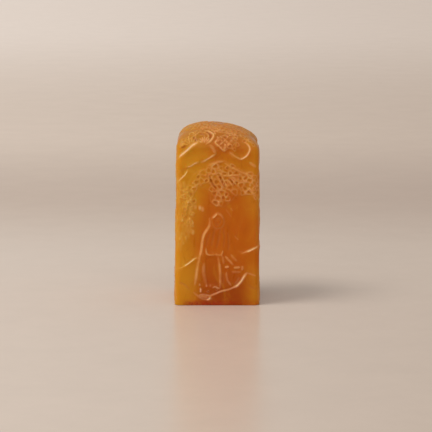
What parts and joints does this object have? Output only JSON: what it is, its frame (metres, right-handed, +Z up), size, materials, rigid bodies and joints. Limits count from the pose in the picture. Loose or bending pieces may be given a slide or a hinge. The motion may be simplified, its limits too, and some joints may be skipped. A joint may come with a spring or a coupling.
{
  "type": "seal stamp",
  "caption": "Square hand seal of amber soapstone with a domed top, a shallow landscape relief round its sides, and an engraved printing face to stand on.",
  "frame": {"origin": "middle of the printing face, on the plane of its standing lines", "axes": "+Z up from the printing face to the domed top, -Y towards the front with the wanderer, +X to the front's right"},
  "size_m": [0.0255, 0.0255, 0.0527],
  "materials": {
    "soapstone": "polished and waxed, waxy amber translucent, with paler matt cuts in the carving"
  },
  "bodies": {
    "root": {"carved_stone": "soapstone"}
  },
  "joints": []
}
